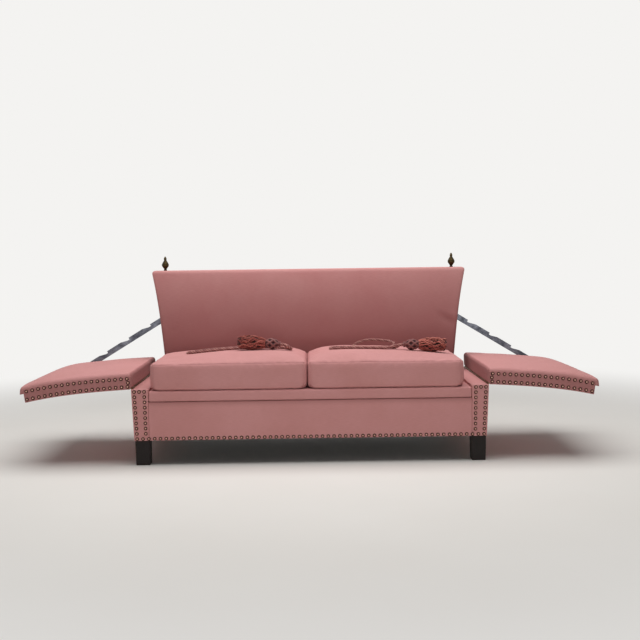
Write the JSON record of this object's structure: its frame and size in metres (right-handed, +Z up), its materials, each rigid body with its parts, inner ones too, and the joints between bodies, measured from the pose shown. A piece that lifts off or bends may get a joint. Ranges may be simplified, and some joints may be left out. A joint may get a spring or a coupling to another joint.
{
  "type": "drop-arm sofa",
  "caption": "Upholstered sofa with let-down arms held by notched ratchet bars, a flared back with finials, loose seat cushions and rope ties with tassels.",
  "frame": {"origin": "on the floor under the middle of the sofa's box", "axes": "+X along the seat, to the right seen from the front; -Y the way the sofa faces; +Z up"},
  "size_m": [2.6206, 0.7618, 0.9343],
  "materials": {
    "salmon_cloth": "smooth faded cloth",
    "beech": "bare",
    "stained_wood": "dark stain, waxed",
    "jute_webbing": "woven",
    "black_cambric": "matt",
    "antique_brass": "aged",
    "dark_steel": "dark, worn",
    "hinge_steel": "dull",
    "rope_yarn": "twisted",
    "bullion_yarn": "twisted fringe"
  },
  "bodies": {
    "sofa": {"back_bottom_rail": "beech", "back_pad": "salmon_cloth", "back_post_left": "beech", "back_post_right": "beech", "back_rear_cover": "salmon_cloth", "back_strut_left": "beech", "back_strut_right": "beech", "back_top_rail": "beech", "back_webbing": "jute_webbing", "centre_stretcher": "beech", "dust_cover": "black_cambric", "finial_left": "antique_brass", "finial_right": "antique_brass", "front_border": "salmon_cloth", "front_panel": "salmon_cloth", "front_rail": "beech", "hinge_base_leaf_left": "hinge_steel", "hinge_base_leaf_right": "hinge_steel", "hinge_pin_left": "hinge_steel", "hinge_pin_right": "hinge_steel", "keeper_left": "dark_steel", "keeper_right": "dark_steel", "leg_front_left": "stained_wood", "leg_front_right": "stained_wood", "leg_rear_left": "stained_wood", "leg_rear_right": "stained_wood", "post_panel_left": "salmon_cloth", "post_panel_right": "salmon_cloth", "rear_rail": "beech", "seat_deck": "salmon_cloth", "seat_webbing": "jute_webbing", "side_cover_left": "salmon_cloth", "side_cover_right": "salmon_cloth", "side_frame_left": "beech", "side_frame_right": "beech"},
    "arm_left": {"arm_frame_left": "beech", "arm_pad_left": "salmon_cloth", "arm_band_left": "salmon_cloth", "arm_under_cover_left": "salmon_cloth", "arm_peg_left": "stained_wood", "bar_pivot_left": "dark_steel", "hinge_arm_leaf_left": "hinge_steel"},
    "bar_left": {"ratchet_bar_left": "dark_steel"},
    "catch_left": {"pawl_left": "dark_steel"},
    "cushion_left": {"seat_cushion_left": "salmon_cloth", "rope_left": "rope_yarn", "tassel_left": "bullion_yarn"},
    "arm_right": {"arm_frame_right": "beech", "arm_pad_right": "salmon_cloth", "arm_band_right": "salmon_cloth", "arm_under_cover_right": "salmon_cloth", "arm_peg_right": "stained_wood", "bar_pivot_right": "dark_steel", "hinge_arm_leaf_right": "hinge_steel"},
    "bar_right": {"ratchet_bar_right": "dark_steel"},
    "catch_right": {"pawl_right": "dark_steel"},
    "cushion_right": {"seat_cushion_right": "salmon_cloth", "rope_right": "rope_yarn", "tassel_right": "bullion_yarn"}
  },
  "joints": [
    {"name": "arm_left_hinge", "type": "hinge", "parent": "sofa", "child": "arm_left", "pos_m": [-0.8, 0, 0.345], "axis": [0, 1, 0], "range_deg": [0, 85.8]},
    {"name": "bar_left_pivot", "type": "hinge", "parent": "arm_left", "child": "bar_left", "pos_m": [-1.21509, 0.372, 0.33165], "axis": [0, 1, 0], "range_deg": [-43, 0]},
    {"name": "catch_left_pivot", "type": "hinge", "parent": "sofa", "child": "catch_left", "pos_m": [-0.63117, 0.372, 0.74181], "axis": [0, -1, 0], "range_deg": [0, 35]},
    {"name": "cushion_left_lift", "type": "slide", "parent": "sofa", "child": "cushion_left", "axis": [0, 0, 1], "range_m": [0, 0.25]},
    {"name": "arm_right_hinge", "type": "hinge", "parent": "sofa", "child": "arm_right", "pos_m": [0.8, 0, 0.345], "axis": [0, -1, 0], "range_deg": [0, 85.8]},
    {"name": "bar_right_pivot", "type": "hinge", "parent": "arm_right", "child": "bar_right", "pos_m": [1.21509, 0.372, 0.33165], "axis": [0, -1, 0], "range_deg": [-43, 0]},
    {"name": "catch_right_pivot", "type": "hinge", "parent": "sofa", "child": "catch_right", "pos_m": [0.63117, 0.372, 0.74181], "axis": [0, 1, 0], "range_deg": [0, 35]},
    {"name": "cushion_right_lift", "type": "slide", "parent": "sofa", "child": "cushion_right", "axis": [0, 0, 1], "range_m": [0, 0.25]}
  ],
  "couplings": [
    {"joint": "bar_left_pivot", "follows": "arm_left_hinge", "ratio": -0.5},
    {"joint": "bar_right_pivot", "follows": "arm_right_hinge", "ratio": -0.5}
  ]
}
